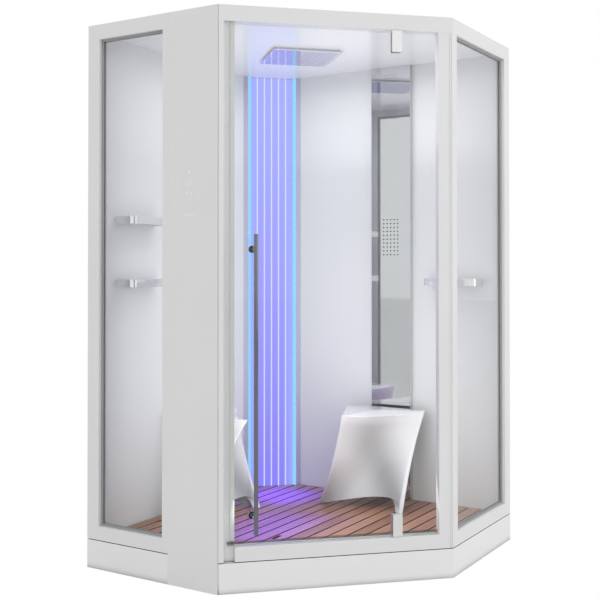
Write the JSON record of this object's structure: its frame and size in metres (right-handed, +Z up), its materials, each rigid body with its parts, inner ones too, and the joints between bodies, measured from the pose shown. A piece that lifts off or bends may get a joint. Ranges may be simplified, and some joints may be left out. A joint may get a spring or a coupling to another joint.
{
  "type": "steam shower cabin",
  "caption": "Five-sided corner steam shower cabin with a clear pivot door, side glass, rain head, body-jet column, light panel, shelves, slatted floor and loose stools.",
  "frame": {"origin": "middle of the square plan at floor level", "axes": "+Z up; the two walls stand on the -X and +Y sides; the door faces +X and -Y at 45 degrees"},
  "size_m": [1.3, 1.3, 2.18],
  "materials": {
    "white_enamel": "semi-gloss",
    "white_acrylic": "gloss",
    "satin_steel": "satin",
    "zinc_steel": "galvanised",
    "chrome": "polished",
    "black_plastic": "matte",
    "grey_plastic": "matte",
    "dark_wood": "oiled",
    "slat_wood": "oiled",
    "wall_sheet": "gloss",
    "clear_glass": "clear",
    "dark_rubber": "matte",
    "pale_seal": "matte",
    "clear_seal": "clear",
    "white_nylon": "matte",
    "touch_film": "gloss",
    "light_bar": "glowing",
    "blue_diffuser": "glowing",
    "brass": "machined",
    "roof_sheet": "gloss",
    "mirror_steel": "mirror",
    "grey_rubber": "matte",
    "shelf_acrylic": "gloss",
    "stool_gloss": "gloss"
  },
  "bodies": {
    "cabin": {"shower_tray": "white_acrylic", "tray_support_frame": "zinc_steel", "levelling_feet": "black_plastic", "drain_trap": "grey_plastic", "drain_cover": "satin_steel", "duckboard_battens": "dark_wood", "duckboard_slats": "slat_wood", "wall_panel_left": "wall_sheet", "wall_panel_right": "wall_sheet", "post_left_rear": "white_enamel", "post_mullion": "white_enamel", "post_door_strike": "white_enamel", "post_door_pivot": "white_enamel", "post_right_rear": "white_enamel", "header_left": "white_enamel", "header_front": "white_enamel", "header_right": "white_enamel", "bottom_rail_left": "white_enamel", "door_sill": "white_enamel", "bottom_rail_right": "white_enamel", "side_glass_left": "clear_glass", "side_glass_right": "clear_glass", "glazing_gasket_left": "dark_rubber", "glazing_gasket_right": "dark_rubber", "door_strike_seal": "pale_seal", "pivot_bushes": "white_nylon", "service_panel": "white_enamel", "cabinet_liner": "wall_sheet", "touch_control": "touch_film", "control_box": "grey_plastic", "steam_generator": "satin_steel", "steam_pipe": "satin_steel", "steam_outlet": "chrome", "light_panel_frame": "white_enamel", "light_diffuser": "blue_diffuser", "light_bars": "light_bar", "light_driver": "grey_plastic", "water_valve_block": "brass", "water_inlets": "brass", "rain_feed_pipe": "grey_plastic", "column_feed_pipe": "grey_plastic", "roof_panel": "roof_sheet", "rain_head_plate": "mirror_steel", "rain_head_body": "satin_steel", "shower_column": "mirror_steel", "body_jets": "grey_rubber", "spray_nozzles": "grey_rubber", "column_manifold": "grey_plastic", "shelf_plates": "shelf_acrylic", "shelf_bands": "chrome"},
    "door": {"door_glass": "clear_glass", "door_bottom_seal": "clear_seal", "pivot_clamp_top": "chrome", "pivot_clamp_bottom": "chrome", "pivot_pins": "satin_steel", "clamp_screws": "chrome", "door_handle": "chrome", "handle_standoffs": "chrome"},
    "right_stool": {"stool_right": "stool_gloss"},
    "left_stool": {"stool_left": "stool_gloss"}
  },
  "joints": [
    {"name": "door_pivot", "type": "hinge", "parent": "cabin", "child": "door", "pos_m": [0.4822, -0.15008, 1.1455], "axis": [0, 0, 1], "range_deg": [0, 90]},
    {"name": "stool_right_lift", "type": "slide", "parent": "cabin", "child": "right_stool", "axis": [0, 0, 1], "range_m": [0, 0.25]},
    {"name": "stool_left_lift", "type": "slide", "parent": "cabin", "child": "left_stool", "axis": [0, 0, 1], "range_m": [0, 0.25]}
  ]
}
